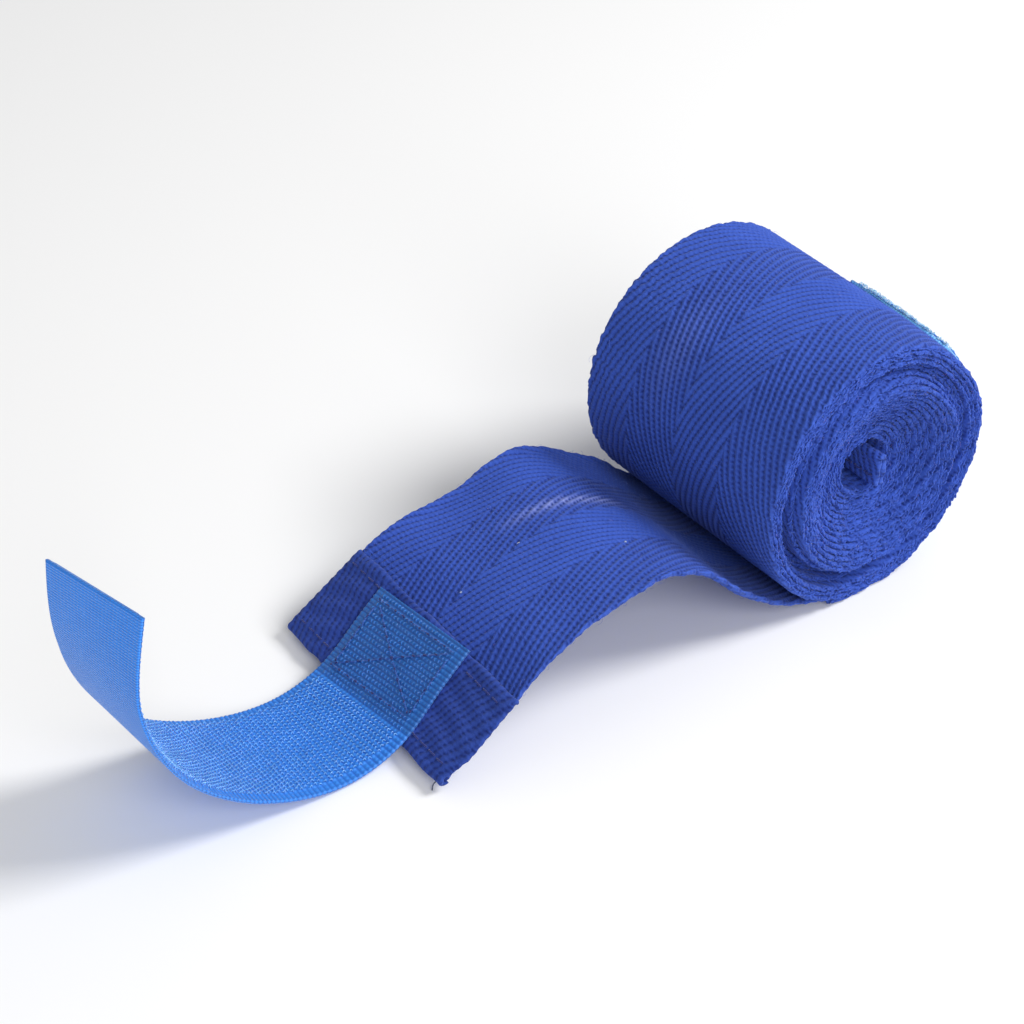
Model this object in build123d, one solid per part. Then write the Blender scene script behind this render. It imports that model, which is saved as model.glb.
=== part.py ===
from build123d import *
import os
from math import cos, radians, sin, tan

# Hand wrap: a long woven band rolled up on itself, with a hook strap sewn to its free end.
# Frame: origin on the floor below the roll's axis, +Y along that axis, +Z up.
# The free end of the band, the tail, runs towards -X. All sizes are in millimetres.

os.makedirs("parts", exist_ok=True)

# Band and roll
BAND_WIDTH = 50.0
BAND_THICKNESS = 0.95
ROLL_RADIUS = 26.9
ROLL_AXIS_HEIGHT = 26.6          # a little under the radius: the bottom is pressed flat
CORE_RADIUS = 5.0

# Near end of the roll (-Y): a level rim, a groove, a ridge and a dished middle
NEAR_RIM_Y = -25.4
FAR_RIM_Y = 25.2
RIM_INNER_RADIUS = 21.8
GROOVE_RADIUS = 21.0
GROOVE_DEPTH = 1.8
RIDGE_RADIUS = 18.6
RIDGE_DEPTH = 0.1
DISH_DEPTH = 3.8

# Thumb loop, tucked into the core with its fold upwards
LOOP_WIDTH = 46.0
LOOP_SLIT = 1.2
LOOP_RECESS = 0.5
LOOP_X = 1.8
LOOP_FOLD_HEIGHT = 2.6           # of the fold above the roll's axis

# Loop patch, sewn round the back of the roll. Angles start at the top and go over the back (+X).
PATCH_WIDTH = 25.0
PATCH_CENTRE_Y = -8.5
PATCH_START = 48.0
PATCH_SWEEP = 106.0
PATCH_THICKNESS = 0.7
PILE_THICKNESS = 0.9
PILE_MARGIN = 1.6

# Profile of the tail, seen from the side, as the middle line of the band: (x, z)
PEEL_POINT = (-7.0, 0.75)
RISE_POINTS = [(-15.5, 2.8), (-27.5, 10.6), (-38.0, 19.4)]
CREST = (-49.4, 22.8)
TAIL_POINTS = [(-62.2, 19.8), (-72.0, 17.0)]
HEM_BACK = (-79.4, 12.2)
HEM_DEPTH = 18.0
HEM_SLOPE = 36.0                 # degrees below level
HEM_HEADING = 4.4                # degrees that the tail has turned towards +Y at its hem

# Hook strap, a stiffer tape that runs on from the hem and curls upwards: (x, z) from its root
STRAP_WIDTH = 26.0
STRAP_THICKNESS = 0.8
SEWN_THICKNESS = 1.0
STRAP_POINTS = [(-10.9, -2.6), (-24.3, 0.35), (-36.0, 7.2), (-44.2, 17.0), (-48.5, 30.6)]
STRAP_TIP = (-46.6, 47.0)
HOOK_HEIGHT = 0.8
HOOK_EDGE = 2.0                  # bare selvedge at each side of the hooks
HOOK_START = 2.4                 # bare tape between the hem and the first hooks

# Stitching
STITCH_LENGTH = 2.0
STITCH_PITCH = 2.9
STITCH_WIDTH = 0.5
STITCH_HEIGHT = 0.25
SEAM_INSET = 2.2

JOINT_GAP = 0.3                  # clear of each other where one fabric piece folds over a joint
STATIONS = 12

ROLL_AXIS = Axis((0, 0, ROLL_AXIS_HEIGHT), (0, 1, 0))
loop_start = NEAR_RIM_Y + DISH_DEPTH + LOOP_RECESS


def write(node, shape):
    export_step(shape, f"parts/{node}.step")


# ---- Roll -------------------------------------------------------------------------------

def radial_plane(angle):
    """Plane through the roll's axis: local x outwards at this angle, local y along +Y."""
    a = radians(angle)
    return Plane(origin=(0, 0, ROLL_AXIS_HEIGHT), x_dir=(sin(a), 0, cos(a)), z_dir=(-cos(a), 0, sin(a)))


def roll_shell(r_in, r_out, start, sweep, y_centre, width):
    """A curved sheet on the roll, from one radius to another."""
    section = Pos((r_in + r_out) / 2, y_centre) * Rectangle(r_out - r_in, width)
    return revolve(radial_plane(start) * section, axis=ROLL_AXIS, revolution_arc=sweep)


def wound_turns():
    inner_radius = ROLL_RADIUS - BAND_THICKNESS
    outline = Polyline(
        (CORE_RADIUS, FAR_RIM_Y),
        (inner_radius, FAR_RIM_Y),
        (inner_radius, NEAR_RIM_Y),
        (RIM_INNER_RADIUS, NEAR_RIM_Y),
        (GROOVE_RADIUS, NEAR_RIM_Y + GROOVE_DEPTH),
        (RIDGE_RADIUS, NEAR_RIM_Y + RIDGE_DEPTH),
        (CORE_RADIUS, NEAR_RIM_Y + DISH_DEPTH),
        close=True,
    )
    return revolve(radial_plane(0) * make_face(outline), axis=ROLL_AXIS)


def above_floor(shape):
    floor = Pos(0, 0, -ROLL_RADIUS) * Box(4 * ROLL_RADIUS, 2 * BAND_WIDTH, 2 * ROLL_RADIUS)
    return shape - floor


def outer_turn():
    ring = Circle(ROLL_RADIUS) - Circle(ROLL_RADIUS - BAND_THICKNESS)
    plane = Plane(origin=(0, 0, ROLL_AXIS_HEIGHT), x_dir=(1, 0, 0), z_dir=(0, -1, 0))
    return above_floor(extrude(plane * ring, BAND_WIDTH / 2, both=True))


def thumb_loop():
    """The band's inner end, doubled over into a loop whose two legs run in under the first turn."""
    thickness = LOOP_SLIT + 2 * BAND_THICKNESS
    height = LOOP_FOLD_HEIGHT + CORE_RADIUS
    centre = (LOOP_FOLD_HEIGHT - CORE_RADIUS) / 2
    legs = Pos(LOOP_X, centre) * Rectangle(thickness, height)
    slit = Pos(LOOP_X, centre - BAND_THICKNESS) * Rectangle(LOOP_SLIT, height)
    section = (legs - slit) & Circle(CORE_RADIUS)
    plane = Plane(origin=(0, loop_start, ROLL_AXIS_HEIGHT), x_dir=(1, 0, 0), z_dir=(0, -1, 0))
    return extrude(plane * section, -LOOP_WIDTH)


def loop_patch():
    return roll_shell(ROLL_RADIUS, ROLL_RADIUS + PATCH_THICKNESS, PATCH_START, PATCH_SWEEP,
                      PATCH_CENTRE_Y, PATCH_WIDTH)


def margin_angle(margin):
    """Angle that a distance along the band takes up on the roll."""
    return margin / radians(1) / ROLL_RADIUS


def loop_pile():
    base = ROLL_RADIUS + PATCH_THICKNESS
    trim = margin_angle(PILE_MARGIN)
    return roll_shell(base, base + PILE_THICKNESS, PATCH_START + trim, PATCH_SWEEP - 2 * trim,
                      PATCH_CENTRE_Y, PATCH_WIDTH - 2 * PILE_MARGIN)


# ---- Stitching --------------------------------------------------------------------------

def stitch_row(plane, start, end):
    """Short raised stitches from start to end, lying on a plane."""
    row = Vector(*end) - Vector(*start)
    count = int(row.length // STITCH_PITCH) + 1
    turn = Vector(1, 0, 0).get_signed_angle(row, Vector(0, 0, 1))
    stitch = Pos(0, 0, STITCH_HEIGHT / 2) * Box(STITCH_LENGTH, STITCH_WIDTH, STITCH_HEIGHT)
    stitches = []
    for i in range(count):
        place = Vector(*start) + row * ((i + 0.5) / count)
        stitches.append(plane * Pos(place.X, place.Y, 0) * Rot(0, 0, turn) * stitch)
    return stitches


def patch_stitches():
    """Stitches in the bare margin of the loop patch, along its two long edges and its two ends."""
    low = ROLL_RADIUS + PATCH_THICKNESS
    high = low + STITCH_HEIGHT
    step = margin_angle(STITCH_PITCH)
    arc = margin_angle(STITCH_LENGTH)
    edge = PATCH_WIDTH / 2 - PILE_MARGIN / 2
    stitches = []
    for i in range(int(PATCH_SWEEP // step)):
        angle = PATCH_START + i * step + step / 2 - arc / 2
        for side in (-edge, edge):
            stitches.append(roll_shell(low, high, angle, arc, PATCH_CENTRE_Y + side, STITCH_WIDTH))
    thin = margin_angle(STITCH_WIDTH)
    across = int((PATCH_WIDTH - 2 * PILE_MARGIN) // STITCH_PITCH)
    inset = margin_angle(PILE_MARGIN / 2) - thin / 2
    for angle in (PATCH_START + inset, PATCH_START + PATCH_SWEEP - inset - thin):
        for i in range(across):
            y = PATCH_CENTRE_Y + (i - (across - 1) / 2) * STITCH_PITCH
            stitches.append(roll_shell(low, high, angle, thin, y, STITCH_LENGTH))
    return stitches


def thumb_loop_stitches():
    """One row on the thumb loop's outer leg, below its fold, from end to end."""
    leg_x = LOOP_X - LOOP_SLIT / 2 - BAND_THICKNESS
    plane = Plane(origin=(leg_x, loop_start, ROLL_AXIS_HEIGHT), x_dir=(0, 1, 0), z_dir=(-1, 0, 0))
    return stitch_row(plane, (SEAM_INSET / 2, 0), (LOOP_WIDTH - SEAM_INSET / 2, 0))


# ---- Tail and strap ---------------------------------------------------------------------

def ribbon_planes(line, y_start, heading_start, heading_end):
    """Cross-section planes along a ribbon: local x across it towards +Y, local y up from it."""
    planes = []
    y = y_start
    previous_x = (line @ 0).X
    for i in range(STATIONS + 1):
        point = line @ (i / STATIONS)
        tangent = line % (i / STATIONS)
        heading = radians(heading_start + (heading_end - heading_start) * i / STATIONS)
        y += (previous_x - point.X) * tan(heading)
        previous_x = point.X
        across = Vector(sin(heading), cos(heading), 0)
        back = Vector(-tangent.X * cos(heading), tangent.X * sin(heading), -tangent.Z)
        planes.append(Plane(origin=(point.X, y, point.Z), x_dir=across, z_dir=back))
    return planes


def ribbon(planes, width, low, high):
    """A flexible strip through a run of cross-section planes, between two heights above its line."""
    section = Pos(0, (low + high) / 2) * Rectangle(width, high - low)
    return loft([plane * section for plane in planes], ruled=True)


def side_view(points):
    return [(x, 0, z) for x, z in points]


half = BAND_THICKNESS / 2
slope = radians(HEM_SLOPE)
level = Vector(-1, 0, 0)
downhill = Vector(-cos(slope), 0, -sin(slope))

rise_end = (CREST[0] + JOINT_GAP / 2, CREST[1])
rise_line = Spline(side_view([PEEL_POINT, *RISE_POINTS, rise_end]), tangents=(level, level))
rise_planes = ribbon_planes(rise_line, 0, 0, 0)
roll_bore = Pos(0, 0, ROLL_AXIS_HEIGHT) * Rot(90, 0, 0) * Cylinder(ROLL_RADIUS, 2 * BAND_WIDTH)
tail_rise = above_floor(ribbon(rise_planes, BAND_WIDTH, -half, half) - roll_bore)

tail_start = (CREST[0] - JOINT_GAP / 2, CREST[1])
tail_line = Spline(side_view([tail_start, *TAIL_POINTS, HEM_BACK]), tangents=(level, downhill))
tail_planes = ribbon_planes(tail_line, 0, 0, HEM_HEADING)

# The hem is flat. Local x across it, local y down its slope to its front edge, local z out of it.
heading = radians(HEM_HEADING)
hem_across = Vector(sin(heading), cos(heading), 0)
hem_forward = Vector(-cos(slope) * cos(heading), cos(slope) * sin(heading), -sin(slope))
hem_plane = Plane(origin=tail_planes[-1].origin, x_dir=hem_across, z_dir=hem_across.cross(hem_forward))
front_plane = Plane(origin=hem_plane.origin + hem_forward * HEM_DEPTH, x_dir=hem_across,
                    z_dir=-hem_forward)
tail_band = ribbon([*tail_planes, front_plane], BAND_WIDTH, -half, half)


def on_hem(width, low, high):
    """A flat layer over the whole depth of the hem."""
    layer = Pos(0, HEM_DEPTH / 2, (low + high) / 2) * Box(width, HEM_DEPTH, high - low)
    return hem_plane * layer


fold_top = half + BAND_THICKNESS
sewn_top = fold_top + SEWN_THICKNESS
hem_fold = on_hem(BAND_WIDTH, half, fold_top)
strap_sewn_end = on_hem(STRAP_WIDTH, fold_top, sewn_top)


def raised(plane, height):
    return Plane(origin=plane.origin + plane.z_dir * height, x_dir=plane.x_dir, z_dir=plane.z_dir)


def hem_stitches():
    """A row along the hem's front edge and one along its back edge, both sides of the strap."""
    plane = raised(hem_plane, fold_top)
    inner = STRAP_WIDTH / 2 + STITCH_WIDTH
    outer = BAND_WIDTH / 2 - STITCH_WIDTH
    stitches = []
    for y in (SEAM_INSET, HEM_DEPTH - SEAM_INSET):
        for side in (-1, 1):
            stitches += stitch_row(plane, (side * inner, y), (side * outer, y))
    return stitches


def box_and_cross_stitches():
    """A stitched rectangle with one diagonal each way, split where the lines meet."""
    plane = raised(hem_plane, sewn_top)
    side = STRAP_WIDTH / 2 - SEAM_INSET
    back = SEAM_INSET
    front = HEM_DEPTH - SEAM_INSET
    middle = (back + front) / 2
    clear = 0.1                      # share of a diagonal left free at each end
    stitches = stitch_row(plane, (-side, back), (side, back))
    stitches += stitch_row(plane, (-side, front), (side, front))
    for x in (-side, side):
        stitches += stitch_row(plane, (x, back + STITCH_PITCH / 2), (x, front - STITCH_PITCH / 2))
        for y in (back, front):
            near = (x * clear, middle + (y - middle) * clear)
            far = (x * (1 - clear), middle + (y - middle) * (1 - clear))
            stitches += stitch_row(plane, near, far)
    return stitches


# The strap's free part starts just in front of its sewn part and turns about the front edge.
strap_middle = fold_top + SEWN_THICKNESS / 2
strap_root = front_plane.origin + hem_plane.z_dir * strap_middle + hem_forward * JOINT_GAP
root_x, root_z = strap_root.X, strap_root.Z
strap_profile = [(root_x, root_z)]
strap_profile += [(root_x + x, root_z + z) for x, z in [*STRAP_POINTS, STRAP_TIP]]
strap_line = Spline(side_view(strap_profile))
strap_planes = ribbon_planes(strap_line, strap_root.Y, HEM_HEADING, 0)
half_strap = STRAP_THICKNESS / 2
strap_free_end = ribbon(strap_planes, STRAP_WIDTH, -half_strap, half_strap)

hook_layer = ribbon(strap_planes, STRAP_WIDTH - 2 * HOOK_EDGE, half_strap, half_strap + HOOK_HEIGHT)
hook_field = split(hook_layer, bisect_by=strap_planes[0].offset(-HOOK_START), keep=Keep.BOTTOM)


write("wound_turns", wound_turns())
write("outer_turn", outer_turn())
write("thumb_loop", thumb_loop())
write("thumb_loop_stitching", Compound(thumb_loop_stitches()))
write("loop_patch", loop_patch())
write("loop_pile", loop_pile())
write("loop_patch_stitching", Compound(patch_stitches()))
write("tail_rise", tail_rise)
write("tail_band", tail_band)
write("hem_fold", hem_fold)
write("hem_stitching", Compound(hem_stitches()))
write("strap_sewn_end", strap_sewn_end)
write("strap_box_stitching", Compound(box_and_cross_stitches()))
write("strap_free_end", strap_free_end)
write("hook_field", hook_field)
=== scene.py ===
"""Hand wrap: a rolled herringbone cotton band with a thumb loop, a hemmed tail, a hook strap and a patch."""
import math

import bmesh
import bpy
import numpy as np
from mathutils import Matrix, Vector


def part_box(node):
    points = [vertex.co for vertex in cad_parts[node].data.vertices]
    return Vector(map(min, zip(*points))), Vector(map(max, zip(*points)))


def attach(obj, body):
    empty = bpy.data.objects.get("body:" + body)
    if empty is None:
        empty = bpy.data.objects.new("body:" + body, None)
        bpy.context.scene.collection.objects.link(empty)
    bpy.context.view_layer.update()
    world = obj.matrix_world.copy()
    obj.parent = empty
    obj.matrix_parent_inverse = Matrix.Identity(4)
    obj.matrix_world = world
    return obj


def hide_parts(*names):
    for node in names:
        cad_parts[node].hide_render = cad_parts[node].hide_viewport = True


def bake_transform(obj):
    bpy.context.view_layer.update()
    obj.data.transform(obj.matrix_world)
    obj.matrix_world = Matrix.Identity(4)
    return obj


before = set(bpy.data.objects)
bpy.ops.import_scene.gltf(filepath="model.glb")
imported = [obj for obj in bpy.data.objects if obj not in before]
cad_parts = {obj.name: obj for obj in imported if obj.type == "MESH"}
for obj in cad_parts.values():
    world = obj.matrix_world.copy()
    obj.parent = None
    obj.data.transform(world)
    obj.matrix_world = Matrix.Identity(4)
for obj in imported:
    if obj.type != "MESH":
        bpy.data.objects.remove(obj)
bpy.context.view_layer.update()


# ---- Wound turns -------------------------------------------------------------------------
# The band is one strip of soft, thick herringbone cotton, 50 mm wide and about 2.4 m long. Most
# of it lies wound on itself. Its edges show as rings of looped weft at both ends of the roll, and
# the near end has slipped: a level rim, a dark groove, a proud ring and a shallow dish.
MM = 0.001
BAND_WIDTH = 50.0
TURN = 0.95                       # one layer of the band
RIB_SPACING = 1.47                # across the band
RIB_SLANT = math.tan(math.radians(18))
WEFT_SPACING = 0.95
CHEVRON_AT = [-25, -11, 1.3, 13.8, 25]      # where the ribs change side, across the band
CHEVRON_RISE = [14, 0, 12.3, -0.2, 11]
CORE_RADIUS = 5.0
PEEL_ANGLE = math.radians(200)    # from the top, over the back: where the tail leaves the roll

roll_low, roll_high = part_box("outer_turn")
ROLL_RADIUS = (roll_high[0] - roll_low[0]) / 2 / MM
AXIS_HEIGHT = roll_high[2] / MM - ROLL_RADIUS
OUTER_MID = ROLL_RADIUS - TURN / 2


def linear(hex_colour):
    """An sRGB hex colour as linear RGBA."""
    parts = [int(hex_colour[i:i + 2], 16) / 255 for i in (1, 3, 5)]
    return [c / 12.92 if c <= 0.04045 else ((c + 0.055) / 1.055) ** 2.4 for c in parts] + [1.0]


def add(tree, kind, inputs=None, **settings):
    """Adds a node. Each input is given a value, or the output socket that feeds it."""
    made = tree.nodes.new(kind)
    for name, value in settings.items():
        setattr(made, name, value)
    for name, value in (inputs or {}).items():
        if isinstance(value, bpy.types.NodeSocket):
            tree.links.new(value, made.inputs[name])
        else:
            made.inputs[name].default_value = value
    return made


def new_material(name):
    """An empty material, and its node tree."""
    material = bpy.data.materials.new(name)
    material.use_nodes = True
    material.node_tree.nodes.clear()
    return material, material.node_tree


def wander(x, wavelength, seed):
    """A smooth random line: a few sines of about one wavelength, from about -1 to 1."""
    draw = np.random.default_rng(seed)
    total = np.zeros_like(np.asarray(x, float))
    for _ in range(5):
        total = total + np.sin(2 * np.pi * x / (wavelength * draw.uniform(0.6, 1.8)) + draw.uniform(0, 6.28))
    return total / 2.6


def crest(tree, count):
    """From a count of ribs or of rows: 1 along the middle of each, down to 0 halfway to the next."""
    turn = add(tree, "ShaderNodeMath", {0: count, 1: 2 * math.pi}, operation="MULTIPLY").outputs[0]
    wave = add(tree, "ShaderNodeMath", {0: turn}, operation="COSINE").outputs[0]
    return add(tree, "ShaderNodeMapRange", {"Value": wave, "From Min": -1.0}).outputs[0]


YARN_FUZZ = 2600.0                # tufts of fibre to a metre: one every 0.38 mm, about a yarn's width
UNEVEN_YARN = 900.0               # thick and thin places in the yarns, 1.1 mm apart
DYE_CLOUD = 140.0                 # uneven dye, in clouds 7 mm across
WORN_BLUE = "#8f9ad6"
PAINTED_SHADE_BLUE = "#0a1550"


def cotton(name, ridge, shaded_hollow, fuzz):
    """Soft ring-spun cotton, woven in a herringbone of plump ribs: matte, with a pale bloom at grazing
    angles, and fine stray fibres. The pinholes and grooves between the ribs, where the weft dips, are
    painted dark towards the hollow colour: painted shade."""
    material, tree = new_material(name)
    rib = add(tree, "ShaderNodeAttribute", attribute_name="rib").outputs["Fac"]
    row = add(tree, "ShaderNodeAttribute", attribute_name="row").outputs["Fac"]
    place = add(tree, "ShaderNodeTexCoord").outputs["Object"]
    yarn = add(tree, "ShaderNodeTexNoise", {"Vector": place, "Scale": YARN_FUZZ, "Detail": 3.0})
    cloud = add(tree, "ShaderNodeTexNoise", {"Vector": place, "Scale": DYE_CLOUD, "Detail": 5.0})
    uneven = add(tree, "ShaderNodeTexNoise", {"Vector": place, "Scale": UNEVEN_YARN, "Detail": 1.0})
    ribs, rows = (crest(tree, add(tree, "ShaderNodeMath", {0: uneven.outputs["Fac"], 1: loose, 2: count},
                                  operation="MULTIPLY_ADD").outputs[0])
                  for count, loose in ((rib, 0.25), (row, 0.9)))
    away = add(tree, "ShaderNodeMath", {0: 1.0, 1: ribs}, operation="SUBTRACT").outputs[0]
    groove = add(tree, "ShaderNodeMath", {0: away, 1: 1.7}, operation="POWER").outputs[0]
    between = add(tree, "ShaderNodeMath", {0: rows, 1: -0.45, 2: 0.88},
                  operation="MULTIPLY_ADD").outputs[0]
    hole = add(tree, "ShaderNodeMath", {0: groove, 1: between}, operation="MULTIPLY").outputs[0]
    plump = add(tree, "ShaderNodeMath", {0: rows, 1: 0.16, 2: 0.85}, operation="MULTIPLY_ADD").outputs[0]
    bead = add(tree, "ShaderNodeMath", {0: plump, 1: hole}, operation="SUBTRACT").outputs[0]
    height = add(tree, "ShaderNodeMath", {0: yarn.outputs["Fac"], 1: fuzz, 2: bead},
                 operation="MULTIPLY_ADD").outputs[0]
    shade = add(tree, "ShaderNodeMath", {0: cloud.outputs["Fac"], 1: 0.5, 2: height},
                operation="MULTIPLY_ADD").outputs[0]
    # The colour runs from the hollow colour in the grooves and pinholes, which is painted shade, to the ridge
    # colour on the ribs. The cloud in it is uneven dye.
    shown = add(tree, "ShaderNodeMapRange", {"Value": shade, "From Min": 0.15, "From Max": 1.7})
    colour = add(tree, "ShaderNodeValToRGB", {"Fac": shown.outputs[0]})
    ramp = colour.color_ramp.elements
    ramp[0].position, ramp[0].color = 0.0, linear(shaded_hollow)
    ramp[1].position, ramp[1].color = 1.0, linear(ridge)
    rub = add(tree, "ShaderNodeAttribute", attribute_name="rub").outputs["Fac"]
    worn = add(tree, "ShaderNodeMath", {0: rub, 1: bead}, operation="MULTIPLY", use_clamp=True).outputs[0]
    faded = add(tree, "ShaderNodeMix", {"Factor": worn, "A": colour.outputs["Color"],
                                        "B": linear(WORN_BLUE)}, data_type="RGBA").outputs["Result"]
    # Below nought the attribute mixes in a deep blue: painted shade, on the hem and in the valley by the
    # roll. Above nought it is real wear, rubbed pale.
    painted_shade = add(tree, "ShaderNodeMath", {0: rub, 1: -1.0}, operation="MULTIPLY", use_clamp=True).outputs[0]
    dyed = add(tree, "ShaderNodeMix", {"Factor": painted_shade, "A": faded, "B": linear(PAINTED_SHADE_BLUE)}, data_type="RGBA")
    bump = add(tree, "ShaderNodeBump", {"Height": height, "Distance": 0.0003, "Strength": 0.8})
    surface = add(tree, "ShaderNodeBsdfPrincipled", {
        "Base Color": dyed.outputs["Result"], "Normal": bump.outputs["Normal"], "Roughness": 0.92,
        "IOR": 1.5, "Specular IOR Level": 0.2, "Sheen Weight": 0.3, "Sheen Roughness": 0.45,
        "Sheen Tint": linear("#8fa6f0")})
    add(tree, "ShaderNodeOutputMaterial", {"Surface": surface.outputs["BSDF"]})
    return material


band_cotton = cotton("herringbone_cotton_royal_blue", "#3c5cbe", "#0b1960", 0.6)


def finish_mesh(name, corners, faces, material, **attributes):
    """Makes an object of corners in millimetres, with its faces turned outwards and smooth."""
    mesh = bpy.data.meshes.new(name)
    mesh.from_pydata((np.asarray(corners) * MM).tolist(), [], faces)
    for label, values in attributes.items():
        layer = mesh.attributes.new(label, "FLOAT", "POINT")
        layer.data.foreach_set("value", np.asarray(values, np.float32).ravel())
    shell = bmesh.new()
    shell.from_mesh(mesh)
    bmesh.ops.recalc_face_normals(shell, faces=shell.faces)
    shell.to_mesh(mesh)
    shell.free()
    mesh.shade_smooth()
    mesh.materials.append(material)
    piece = bpy.data.objects.new(name, mesh)
    bpy.context.scene.collection.objects.link(piece)
    return piece


def strip_faces(count, ring):
    """The faces of a closed strip of rings of corners, with its two ends."""
    faces = []
    for a in range(0, (count - 1) * ring, ring):
        b = a + ring
        faces += [(a + j, a + (j + 1) % ring, b + (j + 1) % ring, b + j) for j in range(ring)]
    return faces + [tuple(range(ring)), tuple(range((count - 1) * ring, count * ring))]


def cloth_ring(width, thickness, top_count, under_count, edge=0.42):
    """The outline of a strip's cross-section: (across, up), over the top, then back underneath."""
    def side(count, sign):
        x = np.linspace(-width / 2, width / 2, count)
        lip = np.array([0.0, 0.12, 0.35, 0.75])
        x = np.concatenate([-width / 2 + edge * lip, x[(x > -width / 2 + edge) & (x < width / 2 - edge)],
                            width / 2 - edge * lip[::-1]])
        into = np.clip((width / 2 - np.abs(x)) / edge, 0, 1)
        return x, sign * thickness / 2 * np.sqrt(np.clip(1 - (1 - into) ** 2, 0.004, 1))
    x1, z1 = side(top_count, 1)
    x2, z2 = side(under_count, -1)
    return np.concatenate([x1, x2[::-1]]), np.concatenate([z1, z2[::-1]]), len(x1)


def weave(along, across, slant):
    """The count of ribs and of weft rows at each place on the band."""
    chevron = np.interp(across, CHEVRON_AT, CHEVRON_RISE)
    stray = 0.16 * wander(along + 3 * across, 31, 4) + 0.1 * wander(across - 0.4 * along, 11, 5)
    return (slant * RIB_SLANT * along + chevron) / RIB_SPACING + stray, along / WEFT_SPACING + 0 * across


SLIP_AT = [5, 8, 11, 14, 16.5, 19, 20.2, 20.9, 22.3, 23.0, 27]           # radius of a turn
SLIP = [3.7, 3.4, 2.7, 0.8, -1.1, -1.5, 1.2, 4.6, 3.8, -0.6, -0.5]       # dish, proud ring, groove, rim
GROOVE_FROM = 19.4
GROOVE_DEEPEST = math.radians(245)


def near_slip(radius, angle):
    """How far the band's near edge lies behind the roll's rim."""
    depth = np.interp(radius, SLIP_AT, SLIP)
    side = 0.62 + 0.38 * np.cos(angle - GROOVE_DEEPEST)
    return np.where(radius > GROOVE_FROM, depth * side, depth)


DENT = {"share": 0.045, "middle": math.radians(50), "spread": 0.42}      # shares of the radius
FLARE = {"share": 0.03, "middle": math.radians(88), "spread": 0.6}


def hump(angle, share, middle, spread):
    """A smooth rise on one side of the roll."""
    return share * np.exp(-(((angle + math.pi) % (2 * math.pi) - math.pi - middle) / spread) ** 2)


def roll_place(radius, angle, y):
    """A place on the roll. It stands a little higher and fuller at its far end, its near rim is dented at
    the upper back and flares below the dent, and its foot is pressed flat."""
    far = np.clip(y / 25, -1, 1)
    dent = hump(angle, **DENT) * np.clip((-y - 8) / 17, 0, 1) ** 1.5
    r = radius * (1 - dent * np.clip(radius / ROLL_RADIUS, 0, 1) ** 2)
    r = r * (1.011 + 0.008 * far + hump(angle, **FLARE) * np.clip(-far, 0, 1) ** 2)
    x, z = r * np.sin(angle), AXIS_HEIGHT + 0.25 + 0.5 * far + r * np.cos(angle)
    return x, np.maximum(z, ROLL_RADIUS - radius)


def wind(name, start, end, step, top_count, under_count, thickness, ripple):
    """Part of the band's spiral, between two angles, with the distances along it and its two rims."""
    angles, a = [], end
    while a > start:
        angles.append(a)
        a -= step / (OUTER_MID + TURN * (a - PEEL_ANGLE) / (2 * math.pi))
    angle = np.array([start] + angles[::-1])
    mid = OUTER_MID + TURN * (angle - PEEL_ANGLE) / (2 * math.pi)
    along = np.concatenate([[0], np.cumsum((mid[1:] + mid[:-1]) / 2 * np.diff(angle))])
    along -= along[-1]
    x, z, top = cloth_ring(BAND_WIDTH, thickness, top_count, under_count)
    offsets = np.repeat(x[None], len(angle), 0)
    heights = np.repeat(z[None], len(angle), 0)
    rib, row = weave(along[:, None], offsets, 1)
    edge = np.clip((np.abs(offsets) - (BAND_WIDTH / 2 - 3)) / 3, 0, 1)
    slip = near_slip(mid, angle) + 0.2 * wander(mid, 2.2, 7)
    slip = slip + 0.14 * wander(along, 7, 8) + 0.1 * wander(along, 1.9, 9)
    far_slip = 0.3 * wander(mid, 3.1, 10) + 0.14 * wander(along, 3, 11) - 0.6
    scallop = 0.07 * wander(along, 1.05, 13)[:, None] * edge
    y = offsets + np.where(offsets < 0, slip[:, None], -far_slip[:, None]) * np.clip(
        (np.abs(offsets) - 8) / 12, 0, 1) + np.sign(offsets) * scallop
    relief = ripple * (np.cos(2 * np.pi * rib) + 0.1 * np.cos(2 * np.pi * row))
    outer = np.arange(len(x)) < top
    heights = heights + np.where(outer[None], relief * (np.abs(offsets) < BAND_WIDTH / 2 - 0.3), 0)
    heights = heights + 0.09 * edge * wander(along, 1.7, 12)[:, None]
    px, pz = roll_place(mid[:, None] + heights, angle[:, None], y)
    corners = np.stack([px, y, pz], -1)
    handled = 0.13 * outer * np.exp(-(((offsets - 8) / 4) ** 2) - ((angle[:, None] + 0.8) / 0.4) ** 2)
    piece = finish_mesh(name, corners.reshape(-1, 3), strip_faces(*offsets.shape), band_cotton,
                        rib=rib, row=row, rub=handled)
    rims = [np.column_stack([corners[:, j], angle]) for j in (0, top - 1)]
    return piece, along - along[0], rims


OUTER_START = PEEL_ANGLE - 2 * math.pi
inner_turns = (OUTER_MID - TURN - CORE_RADIUS - TURN / 2) / TURN
INNER_START = OUTER_START - 2 * math.pi * inner_turns
PACKED_TURN = TURN * 0.93         # leaves a hair of air between the turns
wound, wound_along, wound_rims = wind("wound_turns_of_band", INNER_START, OUTER_START, step=0.46,
                                      top_count=6, under_count=4, thickness=PACKED_TURN, ripple=0.0)
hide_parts("wound_turns")
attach(wound, "roll")


# ---- Outer turn --------------------------------------------------------------------------
# The last whole turn of the same band, whose face shows the four stripes of ribs. It carries the
# loop patch, and its lowest part is the roll's foot, pressed flat by the roll's weight.
RIB_RIPPLE = 0.16
outer, outer_along, outer_rims = wind("outer_turn_of_band", OUTER_START, PEEL_ANGLE, step=0.5,
                                      top_count=190, under_count=8, thickness=TURN, ripple=RIB_RIPPLE)
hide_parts("outer_turn")
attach(outer, "roll")


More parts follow.
